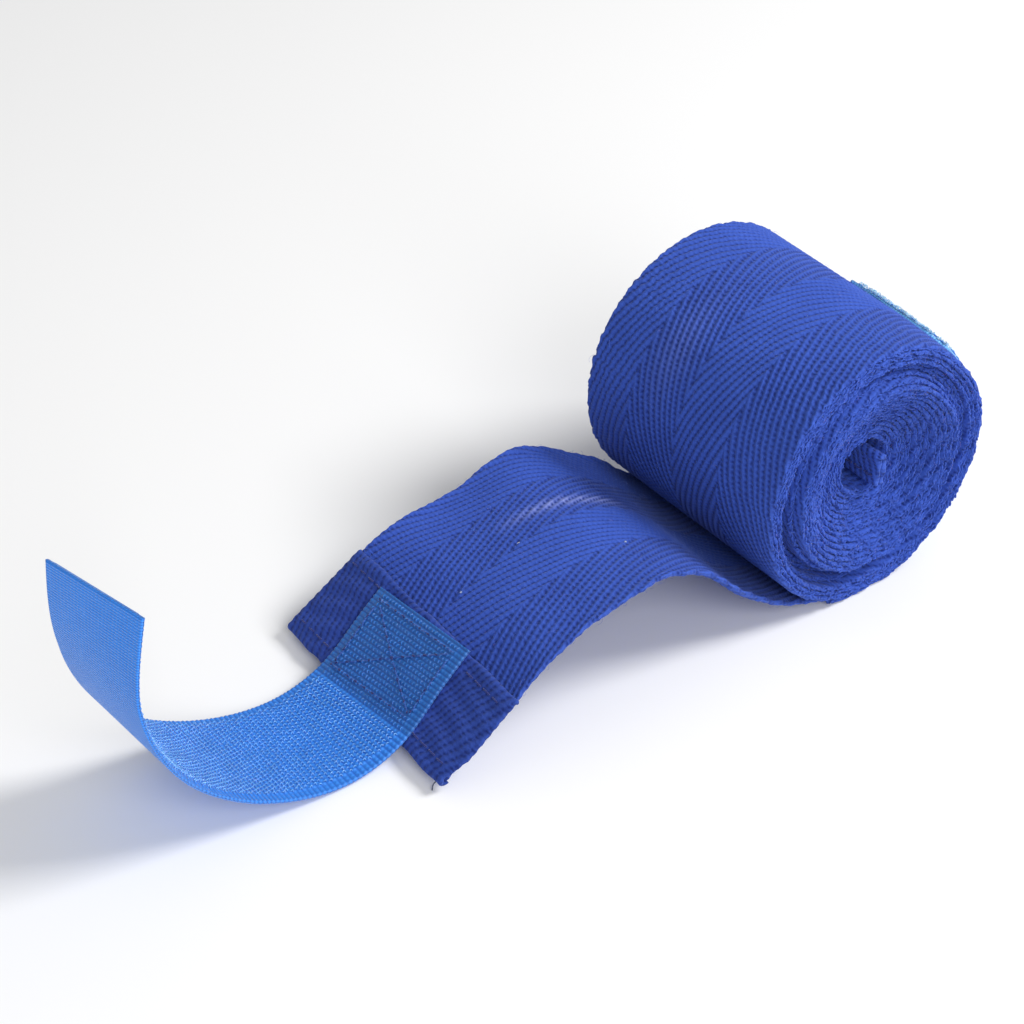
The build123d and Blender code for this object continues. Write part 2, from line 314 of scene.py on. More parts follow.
# ---- Thumb loop --------------------------------------------------------------------------
# The band's inner end, doubled over and sewn into a loop for the thumb. It is packed into the
# core with its fold upwards, beside the dark hole that the winder's pin left.
LOOP_X = 2.5
LOOP_BEND = 0.62                  # radius of the fold's middle line
LOOP_FOLD_HEIGHT = 1.7
LOOP_FRONT = 1.2                  # behind the rim


def sweep(name, line, across, up, offsets, heights, material, **attributes):
    """A closed strip: at each point of a line, a ring of corners offset across the strip and up from it."""
    corners = (line[:, None, :] + across[:, None, :] * offsets[:, :, None]
               + up[:, None, :] * heights[:, :, None]).reshape(-1, 3)
    return finish_mesh(name, corners, strip_faces(*offsets.shape), material, **attributes)


def unit(vectors):
    """The same directions, each of length 1."""
    return vectors / np.linalg.norm(vectors, axis=1)[:, None]


def distance_along(line):
    """How far along a line each of its points is."""
    return np.concatenate([[0], np.cumsum(np.linalg.norm(np.diff(line, axis=0), axis=1))])


leg_foot = AXIS_HEIGHT - 4.2
bend_z = AXIS_HEIGHT + LOOP_FOLD_HEIGHT - LOOP_BEND
leg = np.linspace(leg_foot, bend_z, 14)
around = np.linspace(math.pi, 0, 12)
loop_x = np.concatenate([0 * leg + LOOP_X - LOOP_BEND, LOOP_X + LOOP_BEND * np.cos(around[1:-1]),
                         0 * leg + LOOP_X + LOOP_BEND])
loop_z = np.concatenate([leg, bend_z + LOOP_BEND * np.sin(around[1:-1]), leg[::-1]])
loop_x = loop_x + 0.35 * np.sin((loop_z - leg_foot) / 2.4)
loop_line = np.stack([loop_x, 0 * loop_x, loop_z], -1)
loop_run = unit(np.gradient(loop_line, axis=0))
loop_up = np.stack([-loop_run[:, 2], 0 * loop_x, loop_run[:, 0]], -1)
loop_across = np.tile([0.0, 1.0, 0.0], (len(loop_x), 1))
loop_width = BAND_WIDTH - 2 * LOOP_FRONT
x, z, _ = cloth_ring(loop_width, 1.2 * TURN, 24, 24)
loop_offsets = np.repeat(x[None], len(loop_x), 0)
loop_rib, loop_row = weave(np.cumsum(np.full(len(loop_x), 0.5))[:, None], loop_offsets, 1)
loop_heights = z[None] + 0.08 * np.cos(2 * np.pi * loop_rib) * np.sign(z)[None]
loop_offsets = loop_offsets + 0.12 * wander(np.arange(len(loop_x)) * 0.5, 3, 21)[:, None]
thumb_loop = sweep("thumb_loop_of_band", loop_line, loop_across, loop_up, loop_offsets, loop_heights,
                   band_cotton, rib=loop_rib, row=loop_row, rub=0 * loop_rib)
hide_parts("thumb_loop")
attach(thumb_loop, "roll")


# ---- Thumb loop seam ---------------------------------------------------------------------
# A row of lockstitch in navy polyester thread, across the doubled band below its fold. It closes
# the thumb loop. Each stitch is a low arch, and the same arch makes every later loop and hook.
arches = bpy.data.node_groups.new("arches_on_a_cloth", "GeometryNodeTree")
for kind, labels in (
        ("Geometry", ["Geometry"]), ("Int", ["Bends", "Sides", "Seed"]), ("Material", ["Material"]),
        ("Float", ["Span", "Height", "End height", "Thickness", "Stray angle", "Smallest"])):
    for label in labels:
        arches.interface.new_socket(label, in_out="INPUT", socket_type="NodeSocket" + kind)
arches.interface.new_socket("Geometry", in_out="OUTPUT", socket_type="NodeSocketGeometry")
given = add(arches, "NodeGroupInput").outputs
half_span = add(arches, "ShaderNodeMath", {0: given["Span"], 1: 0.5}, operation="MULTIPLY").outputs[0]
minus_half = add(arches, "ShaderNodeMath", {0: half_span, 1: -1.0}, operation="MULTIPLY").outputs[0]
twice_height = add(arches, "ShaderNodeMath", {0: given["Height"], 1: 2.0}, operation="MULTIPLY").outputs[0]
first = add(arches, "ShaderNodeCombineXYZ", {"X": minus_half}).outputs[0]
middle = add(arches, "ShaderNodeCombineXYZ", {"Z": twice_height}).outputs[0]
last = add(arches, "ShaderNodeCombineXYZ", {"X": half_span, "Z": given["End height"]}).outputs[0]
arch = add(arches, "GeometryNodeCurveQuadraticBezier",
           {"Resolution": given["Bends"], "Start": first, "Middle": middle, "End": last})
thread_radius = add(arches, "ShaderNodeMath", {0: given["Thickness"], 1: 0.5}, operation="MULTIPLY")
thread_ring = add(arches, "GeometryNodeCurvePrimitiveCircle",
                  {"Resolution": given["Sides"], "Radius": thread_radius.outputs[0]})
thread = add(arches, "GeometryNodeCurveToMesh", {
    "Curve": arch.outputs["Curve"], "Profile Curve": thread_ring.outputs["Curve"], "Fill Caps": True})
cloth_along = add(arches, "GeometryNodeInputNamedAttribute", {"Name": "lie"}, data_type="FLOAT_VECTOR")
cloth_up = add(arches, "GeometryNodeInputNamedAttribute", {"Name": "up"}, data_type="FLOAT_VECTOR")
upright = add(arches, "FunctionNodeAlignRotationToVector",
              {"Vector": cloth_up.outputs["Attribute"]}, axis="Z")
aligned = add(arches, "FunctionNodeAlignRotationToVector",
              {"Rotation": upright.outputs[0], "Vector": cloth_along.outputs["Attribute"]},
              axis="X", pivot_axis="Z")
stray_low = add(arches, "ShaderNodeMath", {0: given["Stray angle"], 1: -1.0}, operation="MULTIPLY").outputs[0]
low, high = (add(arches, "ShaderNodeCombineXYZ", {"X": angle, "Y": angle, "Z": angle}).outputs[0]
             for angle in (stray_low, given["Stray angle"]))
stray = add(arches, "FunctionNodeRandomValue", {"Min": low, "Max": high, "Seed": given["Seed"]},
            data_type="FLOAT_VECTOR")
turned = add(arches, "FunctionNodeRotateRotation",
             {"Rotation": aligned.outputs[0], "Rotate By": stray.outputs["Value"]}, rotation_space="LOCAL")
sizes = add(arches, "FunctionNodeRandomValue", {2: given["Smallest"], 3: 1.0, "Seed": given["Seed"]},
            data_type="FLOAT")
placed = add(arches, "GeometryNodeInstanceOnPoints", {
    "Points": given["Geometry"], "Instance": thread.outputs["Mesh"], "Rotation": turned.outputs[0],
    "Scale": sizes.outputs[1]})
real = add(arches, "GeometryNodeRealizeInstances", {"Geometry": placed.outputs["Instances"]})
smooth = add(arches, "GeometryNodeSetShadeSmooth", {"Geometry": real.outputs["Geometry"]})
dyed = add(arches, "GeometryNodeSetMaterial", {"Geometry": smooth.outputs[0], "Material": given["Material"]})
add(arches, "NodeGroupOutput", {"Geometry": dyed.outputs["Geometry"]})


def arch_piece(name, points, lie, up, material, **sizes_given):
    """Small arches of thread standing on a cloth, each at a point, lying one way, with its own up."""
    mesh = bpy.data.meshes.new(name)
    mesh.from_pydata((np.asarray(points) * MM).tolist(), [], [])
    for label, values in (("lie", lie), ("up", up)):
        layer = mesh.attributes.new(label, "FLOAT_VECTOR", "POINT")
        layer.data.foreach_set("vector", np.asarray(values, np.float32).ravel())
    piece = bpy.data.objects.new(name, mesh)
    bpy.context.scene.collection.objects.link(piece)
    grown = piece.modifiers.new("arches", "NODES")
    grown.node_group = arches
    values = dict(sizes_given, Material=material)
    for socket in arches.interface.items_tree:
        key = socket.name.replace(" ", "_")
        if socket.in_out == "INPUT" and key in values:
            grown[socket.identifier] = values[key]
    ready = bpy.context.evaluated_depsgraph_get()
    piece.data = bpy.data.meshes.new_from_object(piece.evaluated_get(ready), depsgraph=ready)
    piece.modifiers.clear()
    piece.data.name = name
    return piece


def polyester_thread(name, colour):
    """Twisted polyester sewing thread: fine, a little glossy, with its two plies showing as a slant."""
    material, tree = new_material(name)
    place = add(tree, "ShaderNodeTexCoord").outputs["Object"]
    plies = add(tree, "ShaderNodeTexWave", {"Vector": place, "Scale": 900.0, "Distortion": 1.5},
                bands_direction="DIAGONAL")
    bump = add(tree, "ShaderNodeBump", {"Height": plies.outputs["Fac"], "Distance": 0.00008})
    surface = add(tree, "ShaderNodeBsdfPrincipled", {
        "Base Color": linear(colour), "Normal": bump.outputs["Normal"], "Roughness": 0.55,
        "IOR": 1.55, "Specular IOR Level": 0.4, "Sheen Weight": 0.2})
    add(tree, "ShaderNodeOutputMaterial", {"Surface": surface.outputs["BSDF"]})
    return material


navy_thread = polyester_thread("polyester_thread_navy", "#1b2a78")
STITCH = {"Span": 2.0 * MM, "Height": 0.16 * MM, "End_height": -0.12 * MM, "Thickness": 0.34 * MM,
          "Stray_angle": 0.09, "Smallest": 0.85, "Bends": 5, "Sides": 6, "Seed": 3}
STITCH_PITCH = 2.6

loop_stitch_y = np.arange(-BAND_WIDTH / 2 + LOOP_FRONT + 2, BAND_WIDTH / 2 - LOOP_FRONT - 2, STITCH_PITCH)
loop_stitch_x = LOOP_X - LOOP_BEND - TURN / 2 - 0.1
thumb_seam = arch_piece(
    "thumb_loop_seam", [(loop_stitch_x, y, AXIS_HEIGHT - 2.2) for y in loop_stitch_y],
    [(0, 1, 0)] * len(loop_stitch_y), [(-1, 0, 0)] * len(loop_stitch_y), navy_thread, **STITCH)
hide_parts("thumb_loop_stitching")
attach(thumb_seam, "roll")


# ---- Selvedge loops ----------------------------------------------------------------------
# At both ends of the roll, each layer's edge is a row of soft weft loops, where the weft turns
# back into the cloth. They make the rings look knitted and fuzzy.
WEFT_LOOP_STEP = 0.92
TURN_LOOPS_OUT = (-0.28, 0.22)    # how far a loop strays from its turn's middle
RIM_LOOPS_OUT = (-0.4, -0.1)
for end, (name, side) in enumerate((("selvedge_loops_near_end", -1), ("selvedge_loops_far_end", 1))):
    spots, lies = [], []
    for along, rims, strays in ((wound_along, wound_rims[end], TURN_LOOPS_OUT),
                                (outer_along, outer_rims[end], RIM_LOOPS_OUT)):
        draw = np.random.default_rng(91 + end)
        at = np.arange(0.5, along[-1], WEFT_LOOP_STEP)
        at = at + draw.uniform(-0.2, 0.2, len(at))
        place = np.stack([np.interp(at, along, rims[:, k]) for k in range(4)], -1)
        angle = place[:, 3]
        out = draw.uniform(*strays, len(at))
        place[:, 0] += out * np.sin(angle)
        place[:, 2] = np.maximum(place[:, 2] + out * np.cos(angle), 0.25)
        place[:, 1] -= side * 0.1
        spots.append(place[:, :3])
        lies.append(np.stack([np.cos(angle), 0 * angle, -np.sin(angle)], -1))
    spots, lies = np.concatenate(spots), np.concatenate(lies)
    loops = arch_piece(name, spots, lies, np.tile([0.0, side, 0.0], (len(spots), 1)), band_cotton,
                       Span=1.1 * MM, Height=0.24 * MM, End_height=0.0, Thickness=0.38 * MM, Stray_angle=0.55,
                       Smallest=0.75, Bends=4, Sides=5, Seed=5)
    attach(loops, "roll")


# ---- Loop patch --------------------------------------------------------------------------
# Woven nylon tape with a napped face of fine loops, sewn round the outer turn at the roll's back.
# It is what the hook strap closes on once the hand is wrapped.
patch_low, patch_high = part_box("loop_patch")
PATCH_WIDTH = (patch_high[1] - patch_low[1]) / MM
PATCH_CENTRE = (patch_high[1] + patch_low[1]) / 2 / MM
PATCH_START = math.radians(48)
PATCH_SWEEP = math.radians(106)
PATCH_THICKNESS = 0.7


def nylon_tape(name, light, dark, pick):
    """Woven nylon tape: smooth bright filament with a soft gloss, in fine rows across the tape. Between
    the rows it is painted darker towards the dark colour: painted shade.
    """
    material, tree = new_material(name)
    row = add(tree, "ShaderNodeAttribute", attribute_name="row").outputs["Fac"]
    rib = add(tree, "ShaderNodeAttribute", attribute_name="rib").outputs["Fac"]
    place = add(tree, "ShaderNodeTexCoord").outputs["Object"]
    cloud = add(tree, "ShaderNodeTexNoise", {"Vector": place, "Scale": 420.0, "Detail": 4.0})
    ribs, rows = crest(tree, rib), crest(tree, row)
    cell = add(tree, "ShaderNodeMath", {0: ribs, 1: rows}, operation="MULTIPLY").outputs[0]
    both = add(tree, "ShaderNodeMath", {0: rows, 1: cell}, operation="ADD").outputs[0]
    height = add(tree, "ShaderNodeMath", {0: cloud.outputs["Fac"], 1: 0.6, 2: both},
                 operation="MULTIPLY_ADD").outputs[0]
    colour = add(tree, "ShaderNodeValToRGB", {"Fac": height})
    ramp = colour.color_ramp.elements
    ramp[0].position, ramp[0].color = 0.15, linear(dark)
    ramp[1].position, ramp[1].color = 0.95, linear(light)
    # The tone multiplies the colour: below one it is painted shade on the strap's sewn end, above one painted
    # light on the strap's back.
    tone = add(tree, "ShaderNodeAttribute", attribute_name="tone").outputs["Fac"]
    toned = add(tree, "ShaderNodeMix", {"Factor": 1.0, "A": colour.outputs["Color"], "B": tone},
                data_type="RGBA", blend_type="MULTIPLY")
    bump = add(tree, "ShaderNodeBump", {"Height": height, "Distance": pick, "Strength": 0.8})
    surface = add(tree, "ShaderNodeBsdfPrincipled", {
        "Base Color": toned.outputs["Result"], "Normal": bump.outputs["Normal"], "Roughness": 0.48,
        "IOR": 1.53, "Specular IOR Level": 0.5, "Sheen Weight": 0.25, "Sheen Roughness": 0.3})
    add(tree, "ShaderNodeOutputMaterial", {"Surface": surface.outputs["BSDF"]})
    return material


patch_tape = nylon_tape("nylon_tape_mid_blue", "#6db4f2", "#4088d8", 0.0001)


def patch_place(angle, y, lift):
    """A place on the roll's face at an angle from the top, lifted from it."""
    angle = angle - 0.0045 * (y - PATCH_CENTRE)
    radius = ROLL_RADIUS + lift - TURN * (PEEL_ANGLE - angle) / (2 * math.pi)
    px, pz = roll_place(radius, angle, y)
    return np.stack(np.broadcast_arrays(px, y, pz), -1)


patch_angle = np.linspace(PATCH_START, PATCH_START + PATCH_SWEEP, 130)
x, z, _ = cloth_ring(PATCH_WIDTH, PATCH_THICKNESS, 44, 44, 0.3)
patch_y = PATCH_CENTRE + np.repeat(x[None], len(patch_angle), 0)
frayed = 0.25 * wander(x, 2.5, 31)
patch_turn = patch_angle[:, None] + 0 * patch_y
patch_turn[0] += frayed / ROLL_RADIUS
patch_turn[-1] += frayed / ROLL_RADIUS
patch_corners = patch_place(patch_turn, patch_y, 0.05 + PATCH_THICKNESS / 2 + z[None]).reshape(-1, 3)
patch = finish_mesh("loop_patch_tape", patch_corners, strip_faces(*patch_y.shape), patch_tape,
                    rib=patch_y / 0.6, row=patch_turn * ROLL_RADIUS / 0.5, tone=0 * patch_y + 1)
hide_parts("loop_patch")
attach(patch, "roll")
patch_length = PATCH_SWEEP * ROLL_RADIUS


# ---- Loop pile ---------------------------------------------------------------------------
# The patch's napped face: thousands of fine nylon loops, knitted into the tape and brushed every
# way, so that hooks catch in them. A bare margin is left for the seam.
PILE_HEIGHT = 0.81
PILE_MARGIN = 1.4
PILE_LOOPS = 5200


def fine_filament(name, colour, roughness):
    """One fine filament or fibre: a little clear, with small bright glints along its curves where it is
    smooth nylon, and none where it is rough cotton."""
    material, tree = new_material(name)
    place = add(tree, "ShaderNodeTexCoord").outputs["Object"]
    cloud = add(tree, "ShaderNodeTexNoise", {"Vector": place, "Scale": 300.0, "Detail": 2.0})
    shade = add(tree, "ShaderNodeValToRGB", {"Fac": cloud.outputs["Fac"]})
    ramp = shade.color_ramp.elements
    ramp[0].position, ramp[0].color = 0.3, [c * 0.72 for c in linear(colour)[:3]] + [1.0]
    ramp[1].position, ramp[1].color = 0.7, linear(colour)
    surface = add(tree, "ShaderNodeBsdfPrincipled", {
        "Base Color": shade.outputs["Color"], "Roughness": roughness, "IOR": 1.53,
        "Specular IOR Level": 0.6, "Subsurface Weight": 0.15, "Subsurface Scale": 0.0005})
    add(tree, "ShaderNodeOutputMaterial", {"Surface": surface.outputs["BSDF"]})
    return material


pile_nylon = fine_filament("brushed_nylon_loops_sky_blue", "#a9dcfb", 0.6)
draw = np.random.default_rng(41)
margin = PILE_MARGIN / ROLL_RADIUS
pile_angle = draw.uniform(PATCH_START - 0.1 * margin, PATCH_START + PATCH_SWEEP - margin, PILE_LOOPS)
pile_y = PATCH_CENTRE + draw.uniform(-1, 1, PILE_LOOPS) * (PATCH_WIDTH / 2 - PILE_MARGIN)
pile_points = patch_place(pile_angle, pile_y, 0.1 + PATCH_THICKNESS)
pile_up = np.stack([np.sin(pile_angle), 0 * pile_angle, np.cos(pile_angle)], -1)
heading = draw.uniform(0, 2 * np.pi, PILE_LOOPS)
pile_lie = np.stack([np.cos(pile_angle) * np.cos(heading), np.sin(heading),
                     -np.sin(pile_angle) * np.cos(heading)], -1)
pile = arch_piece("loop_patch_pile", pile_points, pile_lie, pile_up, pile_nylon, Span=1.1 * MM,
                  Height=PILE_HEIGHT * MM, End_height=0.0, Thickness=0.13 * MM, Stray_angle=0.7,
                  Smallest=0.55, Bends=5, Sides=3, Seed=7)
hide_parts("loop_pile")
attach(pile, "roll")


# ---- Loop patch seam ---------------------------------------------------------------------
# Lockstitch in mid-blue polyester thread, all round the patch in the bare margin outside its loops.
# It goes through the tape and the band under it.
SEAM_INSET = 0.8


def ring_of_stitches(half_length, half_width):
    """Places and directions of stitches round a rectangle: (along, across, along step, across step)."""
    stitches = []
    for side in (-1, 1):
        for s in np.arange(-half_length + 1, half_length - 1, STITCH_PITCH):
            stitches.append((s + 0.6, side * half_width, 1, 0))
        for a in np.arange(-half_width + 1.6, half_width - 1, STITCH_PITCH):
            stitches.append((side * half_length, a + 0.3, 0, 1))
    return np.array(stitches, float)


patch_round = ring_of_stitches(patch_length / 2 - SEAM_INSET, PATCH_WIDTH / 2 - SEAM_INSET)
patch_thread = polyester_thread("polyester_thread_mid_blue", "#3a78cc")
seam_angle = PATCH_START + PATCH_SWEEP / 2 + patch_round[:, 0] / ROLL_RADIUS
seam_points = patch_place(seam_angle, PATCH_CENTRE + patch_round[:, 1], 0.2 + PATCH_THICKNESS)
seam_up = np.stack([np.sin(seam_angle), 0 * seam_angle, np.cos(seam_angle)], -1)
seam_lie = np.stack([np.cos(seam_angle) * patch_round[:, 2], patch_round[:, 3],
                     -np.sin(seam_angle) * patch_round[:, 2]], -1)
patch_seam = arch_piece("loop_patch_seam", seam_points, seam_lie, seam_up, patch_thread, **STITCH)
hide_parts("loop_patch_stitching")
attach(patch_seam, "roll")


# ---- Tail --------------------------------------------------------------------------------
# The free end of the same band. It peels off under the roll, springs up in a hump and comes down
# to its hem. It shows the band's other face, so its ribs slant the other way, and it is rubbed
# pale in one streak.
CREST = (-49.4, 22.8)
TAIL_ROUTE = [(-16.2, 3.9), (-28.0, 10.9), (-38.0, 19.5), CREST, (-62.2, 19.9), (-71.6, 17.1), (-78.9, 12.4)]
TAIL_DRIFT_AT = [7, 15.5, 28, 38, 49.4, 62.2, 72.6, 79.5, 94]            # distance from the roll's axis
TAIL_DRIFT = [0, 0.4, 1, 1.6, 1.9, 1.8, 2.1, 2.6, 3.8]                   # how far it has strayed to +Y
HEM_DEPTH = 18.0
HEM_SLOPE = math.radians(36)
HEM_HEADING = math.radians(3.1)


def smooth_route(points, step):
    """Points at even steps on the natural cubic curve through a few points."""
    points = np.asarray(points, float)
    t = distance_along(points)
    n, h = len(t), np.diff(t)
    system, right = np.eye(n), np.zeros((n, points.shape[1]))
    for i in range(1, n - 1):
        system[i, i - 1:i + 2] = h[i - 1], 2 * (h[i - 1] + h[i]), h[i]
        right[i] = 6 * ((points[i + 1] - points[i]) / h[i] - (points[i] - points[i - 1]) / h[i - 1])
    bend = np.linalg.solve(system, right)
    at = np.linspace(0, t[-1], int(t[-1] / step) + 1)
    k = np.clip(np.searchsorted(t, at, "right") - 1, 0, n - 2)
    a, b, hk = (t[k + 1] - at)[:, None], (at - t[k])[:, None], h[k][:, None]
    return (bend[k] * a ** 3 + bend[k + 1] * b ** 3) / (6 * hk) + (points[k] / hk - bend[k] * hk / 6) * a + (
        points[k + 1] / hk - bend[k + 1] * hk / 6) * b


def strip_frame(line, heading, tilt):
    """Across and up directions along a strip. Heading turns it to +Y, and tilt raises its near edge."""
    run = unit(np.gradient(line, axis=0))
    level = np.stack([np.sin(heading), np.cos(heading), 0 * heading], -1)
    level = unit(level - run * (level * run).sum(1)[:, None])
    up = np.cross(level, run)
    across = level * np.cos(tilt)[:, None] - up * np.sin(tilt)[:, None]
    return across, np.cross(across, run), run


lead_in, peel = ([OUTER_MID * math.sin(a), AXIS_HEIGHT + OUTER_MID * math.cos(a)]
                 for a in (PEEL_ANGLE - 0.12, PEEL_ANGLE))
hem_back = np.array(TAIL_ROUTE[-1])
hem_front = hem_back + HEM_DEPTH * np.array([-math.cos(HEM_SLOPE), -math.sin(HEM_SLOPE)])
hem_middle = (hem_back + hem_front) / 2
side_view = smooth_route([lead_in, peel, *TAIL_ROUTE, hem_middle, hem_front], 0.55)
tail_x, tail_z = side_view[:, 0], side_view[:, 1]
turning = np.clip((CREST[0] - tail_x) / (CREST[0] - hem_back[0]), 0, 1)
tail_heading = HEM_HEADING * turning
tail_y = np.interp(-tail_x, TAIL_DRIFT_AT, TAIL_DRIFT)
tail_y = np.convolve(np.pad(tail_y, 12, mode="edge"), np.ones(25) / 25, "valid")
tail_line = np.stack([tail_x, tail_y, tail_z], -1)
tail_tilt = np.radians(5.5) * np.exp(-((tail_x + 57) / 13) ** 2)
tail_across, tail_up, _ = strip_frame(tail_line, tail_heading, tail_tilt)
tail_along = distance_along(tail_line)
tail_length = tail_along[-1]

x, z, top = cloth_ring(BAND_WIDTH, TURN, 180, 110)
tail_offsets = np.repeat(x[None], len(tail_along), 0)
face = np.where(np.arange(len(x)) < top, -1, 1)[None]
tail_rib, tail_row = weave(tail_along[:, None], tail_offsets, face)
edge = np.clip((np.abs(tail_offsets) - (BAND_WIDTH / 2 - 2)) / 2, 0, 1)
tail_relief = RIB_RIPPLE * (np.cos(2 * np.pi * tail_rib) + 0.1 * np.cos(2 * np.pi * tail_row))
tail_relief *= np.sign(z)[None] * (np.abs(tail_offsets) < BAND_WIDTH / 2 - 0.3)
free = np.clip(tail_along / 25, 0, 1)[:, None] * np.clip((tail_length - tail_along) / 22, 0, 1)[:, None]
swell = 0.55 * wander(tail_along[:, None] * 0.8 + tail_offsets * 0.35, 26, 51) * free
curl = 0.5 * free * edge * (1 + 0.6 * wander(tail_along, 17, 52)[:, None])
far_side = np.clip(tail_offsets / 25, 0, 1) ** 1.3
lifted = 2.3 * np.exp(-(((tail_x + 27) / 8.5) ** 2)) - 1.4 * np.exp(-(((tail_x + 53) / 7) ** 2))
lifted = lifted[:, None] * far_side
tail_heights = z[None] + tail_relief + swell + curl + lifted
tail_offsets = tail_offsets + np.sign(tail_offsets) * edge * (
    0.11 * np.cos(2 * np.pi * tail_row / 2) + 0.22 * free * wander(tail_along, 13, 53)[:, None])
worn_line = np.interp(-tail_x, [34, 40, 57, 62], [3.0, 4.3, 7.4, 8.2])[:, None]
worn_length = np.interp(-tail_x, [34, 39, 50, 61], [0, 1, 0.9, 0])
worn_length = worn_length * (0.75 + 0.25 * wander(tail_along, 2.2, 54))
rubbed = np.exp(-(((tail_offsets - worn_line) / 1.5) ** 2)) * worn_length[:, None]
# The stretch next to the roll is painted a deeper blue: painted shade of the valley between the roll and the
# hump.
painted_valley_shade = 0.36 * np.interp(-tail_x, [5, 12, 23, 31], [0.4, 1, 0.9, 0])[:, None]
tail = sweep("tail_of_band", tail_line, tail_across, tail_up, tail_offsets, tail_heights, band_cotton,
             rib=tail_rib, row=tail_row, rub=(np.clip(rubbed, 0, 1) - painted_valley_shade) * (face < 0))
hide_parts("tail_rise", "tail_band")
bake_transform(tail)


# ---- Hem ---------------------------------------------------------------------------------
# The band's end, turned up over itself to the front edge and 18 mm back, with its raw edge turned
# under, so its back edge stands as a step. The strap is sewn on top of it.
hem_level = np.array([math.sin(HEM_HEADING), math.cos(HEM_HEADING), 0])
hem_down = np.array([-math.cos(HEM_SLOPE) * math.cos(HEM_HEADING),
                     math.cos(HEM_SLOPE) * math.sin(HEM_HEADING), -math.sin(HEM_SLOPE)])
hem_out = np.cross(hem_level, hem_down)
hem_corner = tail_line[-1]
HEM_THICKNESS = 1.15


def hem_place(down, across, lift):
    """A place by the hem: down its slope from its front edge (negative is back), across it, and out of it."""
    down, across, lift = np.broadcast_arrays(down, across, lift)
    return (hem_corner + down[..., None] * hem_down + across[..., None] * hem_level
            + lift[..., None] * hem_out)


fold_radius = (TURN + HEM_THICKNESS) / 4 + 0.12
around = np.linspace(-math.pi / 2, math.pi / 2, 12)
hem_s = np.concatenate([[-0.3, 0.0], fold_radius * np.cos(around[1:-1]), -np.linspace(0, HEM_DEPTH - 0.6, 34),
                        [-HEM_DEPTH + 0.2, -HEM_DEPTH - 0.15, -HEM_DEPTH - 0.3]])
hem_l = np.concatenate([[0.0, 0.0], fold_radius * (1 + np.sin(around[1:-1])), np.full(34, 2 * fold_radius),
                        [2 * fold_radius, 2 * fold_radius - 0.1, 2 * fold_radius - 0.35]])
hem_line = hem_place(hem_s, 0 * hem_s, hem_l)
hem_across = np.tile(hem_level, (len(hem_s), 1))
hem_up = np.cross(unit(np.gradient(hem_line, axis=0)), hem_across)
hem_along = distance_along(hem_line)
x, z, top = cloth_ring(BAND_WIDTH + 1.0, TURN, 170, 40)
hem_offsets = np.repeat(x[None], len(hem_s), 0)
face = np.where(np.arange(len(x)) < top, 1, -1)[None]
hem_rib, hem_row = weave(hem_along[:, None], hem_offsets, face)
hem_relief = RIB_RIPPLE * np.cos(2 * np.pi * hem_rib) * np.sign(z)[None]
hem_relief *= np.abs(hem_offsets) < BAND_WIDTH / 2 - 0.3
flap = np.clip((hem_along - 3) / 5, 0, 1)[:, None]
hem_edge = np.clip((np.abs(hem_offsets) - 21) / 4, 0, 1)
hem_heights = -(z[None] + hem_relief) - 0.25 * flap * wander(hem_offsets, 19, 61)
spread = np.clip((hem_along - 4) / 14, 0, 1)[:, None] * hem_edge
sideways = np.where(hem_offsets < 0, -1.5 * hem_edge * flap + 0.7 * spread, -0.6 * spread)
hem_offsets = hem_offsets + sideways + 0.1 * np.sign(hem_offsets) * hem_edge * np.cos(np.pi * hem_row)
HEM_PAINTED_SHADE = -0.35                   # below nought: painted shade, as the hem slopes away from the key light
hem = sweep("hem_fold_of_band", hem_line, hem_across, hem_up, hem_offsets, hem_heights, band_cotton,
            rib=hem_rib, row=hem_row, rub=0 * hem_rib + HEM_PAINTED_SHADE)
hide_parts("hem_fold")
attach(hem, "tail")


# ---- Hem seams ---------------------------------------------------------------------------
# Lockstitch in navy polyester thread, along the hem's front and back edges on both sides of the
# strap. A cut end of grey thread is left at one corner.
HEM_TOP = 2 * fold_radius + TURN / 2
STRAP_WIDTH = 26.0
seam_places = np.array([(down, side * a) for down in (-2.0, -HEM_DEPTH + 2.0) for side in (-1, 1)
                        for a in np.arange(STRAP_WIDTH / 2 + 1.8, BAND_WIDTH / 2 - 1, STITCH_PITCH)])
hem_seam = arch_piece(
    "hem_seam", hem_place(seam_places[:, 0], seam_places[:, 1], HEM_TOP + 0.02),
    np.tile(hem_level, (len(seam_places), 1)), np.tile(hem_out, (len(seam_places), 1)), navy_thread, **STITCH)
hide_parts("hem_stitching")
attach(hem_seam, "tail")

THREAD_RADIUS = 0.12
end_route = smooth_route(hem_place(np.array([-0.6, 0.6, 1.7, 2.6]), np.array([-23.2, -23.6, -23.3, -24.1]),
                                   np.array([0.5, 0.1, -0.2, -0.1])), 0.25)
end_route[:, 2] = np.maximum(end_route[:, 2], 0.15)
end_run = unit(np.gradient(end_route, axis=0))
end_side = unit(np.cross(end_run, hem_out))
spin = np.linspace(0, 2 * np.pi, 7)[:-1]
end_offsets = np.repeat((THREAD_RADIUS * np.cos(spin))[None], len(end_route), 0)
end_heights = np.repeat((THREAD_RADIUS * np.sin(spin))[None], len(end_route), 0)
thread_end = sweep("hem_thread_end", end_route, end_side, np.cross(end_side, end_run), end_offsets,
                   end_heights, polyester_thread("polyester_thread_grey", "#4d5468"))
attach(thread_end, "tail")
